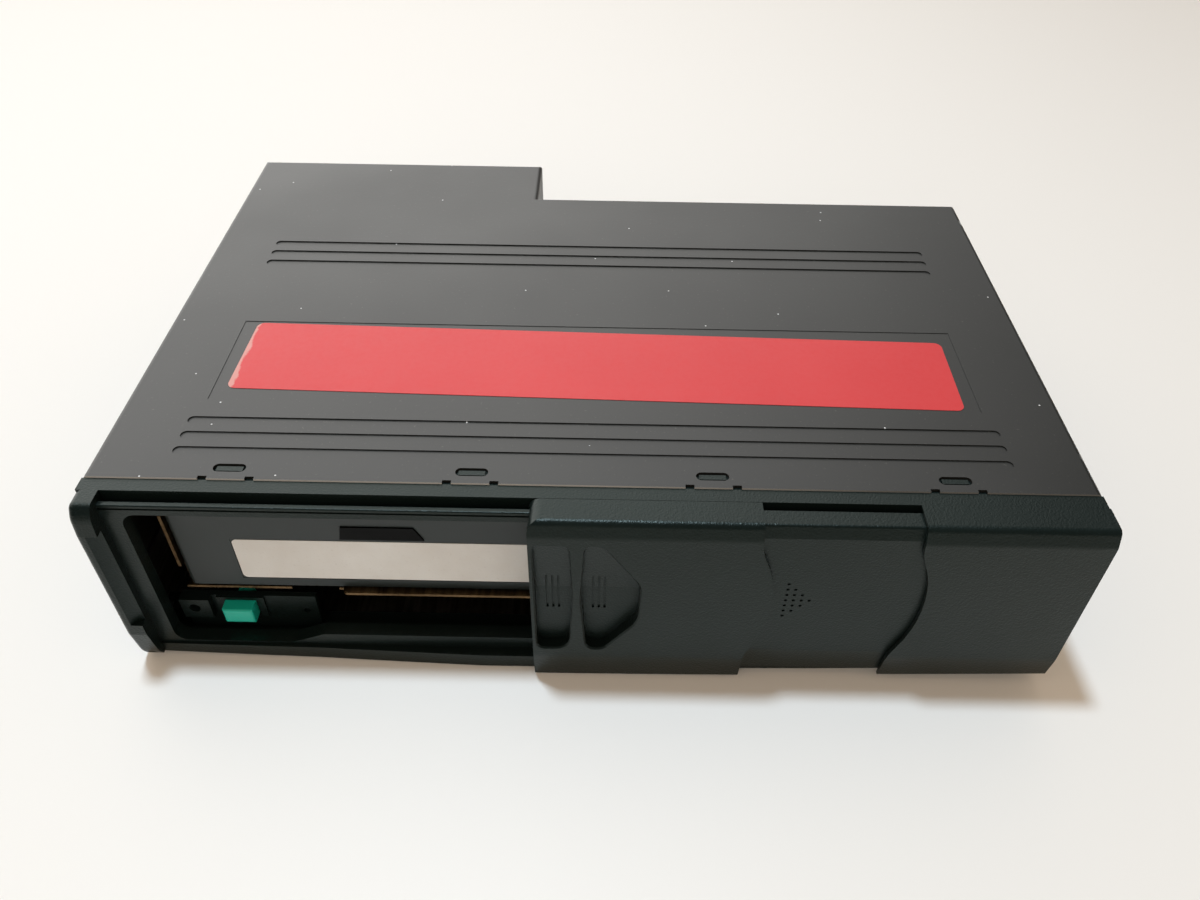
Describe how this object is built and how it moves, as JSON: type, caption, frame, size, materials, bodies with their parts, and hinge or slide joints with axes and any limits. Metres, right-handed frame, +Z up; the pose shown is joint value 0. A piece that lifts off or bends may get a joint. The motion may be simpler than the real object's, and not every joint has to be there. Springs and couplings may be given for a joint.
{
  "type": "car CD changer",
  "caption": "Flat car disc changer with a sliding front door, a disc magazine with trays, an eject button and a lifting play deck inside a black steel case.",
  "frame": {"origin": "middle of the bounding box's underside", "axes": "+X to the right seen from the front, front towards -Y, +Z up as it lies flat"},
  "size_m": [0.25, 0.182, 0.062],
  "materials": {
    "cover_steel": "semi-gloss black paint",
    "zinc_sheet": "zinc plated sheet",
    "black_screw": "black oxide",
    "transport_red": "red passivated screws",
    "label_red": "plain coated paper label",
    "socket_plastic": "moulded",
    "gold_pin": "plated contacts",
    "front_plastic": "fine moulded texture",
    "bronze_sheet": "yellow passivated sheet",
    "spring_steel": "drawn wire",
    "bright_steel": "ground",
    "board_green": "solder resist over glass-fibre board",
    "chip_black": "moulded packages",
    "motor_can": "plated can",
    "shutter_plastic": "smooth",
    "magazine_plastic": "moulded texture",
    "sticker_paper": "bare paper sticker",
    "pad_grey": "grey inset",
    "button_green": "moulded",
    "dial_grey": "moulded",
    "damper_rubber": "soft",
    "deck_steel": "black plated pressing",
    "turntable_black": "moulded",
    "sled_black": "moulded",
    "lens_clear": "coated lens",
    "puck_white": "acetal",
    "cam_white": "acetal",
    "gear_white": "acetal",
    "tray_plastic": "moulded",
    "disc_silver": "metallised polycarbonate"
  },
  "bodies": {
    "case": {"top_cover": "cover_steel", "bottom_chassis": "zinc_sheet", "cover_screws": "black_screw", "transport_screws": "transport_red", "top_label": "label_red", "rear_socket": "socket_plastic", "socket_pins": "gold_pin", "front_bezel": "front_plastic", "right_cover": "front_plastic", "magazine_bay": "bronze_sheet", "button_panel": "front_plastic", "spring_seat": "zinc_sheet", "eject_spring": "spring_steel", "lift_posts": "bright_steel", "main_board": "board_green", "board_spacers": "bright_steel", "board_chips": "chip_black", "lift_motor": "motor_can"},
    "shutter": {"inner_shutter": "shutter_plastic"},
    "door": {"sliding_door": "front_plastic"},
    "magazine": {"magazine_case": "magazine_plastic", "magazine_sticker": "sticker_paper", "push_pad": "pad_grey"},
    "eject_button": {"eject_button": "button_green"},
    "dial_left": {"angle_dial_left": "dial_grey"},
    "dial_right": {"angle_dial_right": "dial_grey"},
    "lift": {"lift_carriage": "zinc_sheet", "oil_dampers": "damper_rubber", "floating_deck": "deck_steel", "spindle_motor": "motor_can", "sled_guide_rod": "bright_steel", "sled_motor": "motor_can", "arm_pin": "bright_steel", "arm_bracket": "deck_steel", "loading_motor": "motor_can"},
    "turntable": {"turntable": "turntable_black"},
    "sled": {"pickup_sled": "sled_black", "pickup_lens": "lens_clear"},
    "sled_screw": {"sled_screw": "bright_steel"},
    "clamp_arm": {"clamp_arm": "zinc_sheet"},
    "clamp_puck": {"clamp_puck": "puck_white"},
    "lift_cam": {"lift_cam_plate": "cam_white"},
    "lift_gear": {"lift_gear": "gear_white"},
    "tray_hook": {"tray_hook": "cam_white"},
    "loading_gear": {"loading_gear": "gear_white"},
    "tray_1": {"disc_tray_1": "tray_plastic", "disc_1": "disc_silver"},
    "tray_2": {"disc_tray_2": "tray_plastic", "disc_2": "disc_silver"},
    "tray_3": {"disc_tray_3": "tray_plastic", "disc_3": "disc_silver"},
    "tray_4": {"disc_tray_4": "tray_plastic", "disc_4": "disc_silver"},
    "tray_5": {"disc_tray_5": "tray_plastic", "disc_5": "disc_silver"},
    "tray_6": {"disc_tray_6": "tray_plastic", "disc_6": "disc_silver"}
  },
  "joints": [
    {"name": "shutter_slide", "type": "slide", "parent": "case", "child": "shutter", "axis": [1, 0, 0], "range_m": [-0.0063, 0.033]},
    {"name": "door_slide", "type": "slide", "parent": "shutter", "child": "door", "axis": [1, 0, 0], "range_m": [-0.0971, 0.005]},
    {"name": "magazine_slide", "type": "slide", "parent": "case", "child": "magazine", "axis": [0, -1, 0], "range_m": [0, 0.008]},
    {"name": "tray_1_slide", "type": "slide", "parent": "magazine", "child": "tray_1", "axis": [1, 0, 0], "range_m": [0, 0.006]},
    {"name": "tray_2_slide", "type": "slide", "parent": "magazine", "child": "tray_2", "axis": [1, 0, 0], "range_m": [0, 0.006]},
    {"name": "tray_3_slide", "type": "slide", "parent": "magazine", "child": "tray_3", "axis": [1, 0, 0], "range_m": [0, 0.006]},
    {"name": "tray_4_slide", "type": "slide", "parent": "magazine", "child": "tray_4", "axis": [1, 0, 0], "range_m": [0, 0.006]},
    {"name": "tray_5_slide", "type": "slide", "parent": "magazine", "child": "tray_5", "axis": [1, 0, 0], "range_m": [0, 0.006]},
    {"name": "tray_6_slide", "type": "slide", "parent": "magazine", "child": "tray_6", "axis": [1, 0, 0], "range_m": [0, 0.006]},
    {"name": "eject_press", "type": "slide", "parent": "case", "child": "eject_button", "axis": [0, 1, 0], "range_m": [0, 0.0025], "stiffness_N_per_m": 300, "deforming": ["eject_spring"]},
    {"name": "dial_left_turn", "type": "hinge", "parent": "case", "child": "dial_left", "pos_m": [-0.124, -0.0033, 0.03], "axis": [-1, 0, 0], "range_deg": [0, 90]},
    {"name": "dial_right_turn", "type": "hinge", "parent": "case", "child": "dial_right", "pos_m": [0.124, -0.0033, 0.03], "axis": [1, 0, 0], "range_deg": [0, 90]},
    {"name": "lift_slide", "type": "slide", "parent": "case", "child": "lift", "axis": [0, 0, 1], "range_m": [0, 0.034]},
    {"name": "cam_slide", "type": "slide", "parent": "case", "child": "lift_cam", "axis": [0, 1, 0], "range_m": [0, 0.034]},
    {"name": "lift_gear_turn", "type": "hinge", "parent": "case", "child": "lift_gear", "pos_m": [0.1199, 0.01007, 0.054], "axis": [1, 0, 0], "range_deg": [-5, 490]},
    {"name": "turntable_spin", "type": "hinge", "parent": "lift", "child": "turntable", "pos_m": [0.059, -0.0108, 0.013], "axis": [0, 0, 1], "continuous": true},
    {"name": "sled_slide", "type": "slide", "parent": "lift", "child": "sled", "axis": [0, 1, 0], "range_m": [0, 0.033]},
    {"name": "sled_screw_turn", "type": "hinge", "parent": "lift", "child": "sled_screw", "pos_m": [0.0745, 0.0192, 0.0072], "axis": [0, 1, 0], "range_deg": [-10, 3970]},
    {"name": "clamp_arm_turn", "type": "hinge", "parent": "lift", "child": "clamp_arm", "pos_m": [0.06, 0.0532, 0.0204], "axis": [1, 0, 0], "range_deg": [0, 2.6]},
    {"name": "clamp_puck_spin", "type": "hinge", "parent": "clamp_arm", "child": "clamp_puck", "pos_m": [0.059, -0.0108, 0.019], "axis": [0, 0, 1], "continuous": true},
    {"name": "tray_hook_slide", "type": "slide", "parent": "lift", "child": "tray_hook", "axis": [1, 0, 0], "range_m": [0, 0.038]},
    {"name": "loading_gear_turn", "type": "hinge", "parent": "lift", "child": "loading_gear", "pos_m": [0.06721, -0.0605, 0.009], "axis": [0, 0, 1], "range_deg": [-5, 455]}
  ],
  "couplings": [
    {"joint": "cam_slide", "follows": "lift_slide", "ratio": 1},
    {"joint": "lift_gear_turn", "follows": "lift_slide", "rad_per_m": 250},
    {"joint": "sled_screw_turn", "follows": "sled_slide", "rad_per_m": 2094.4},
    {"joint": "loading_gear_turn", "follows": "tray_hook_slide", "rad_per_m": 208.33}
  ]
}
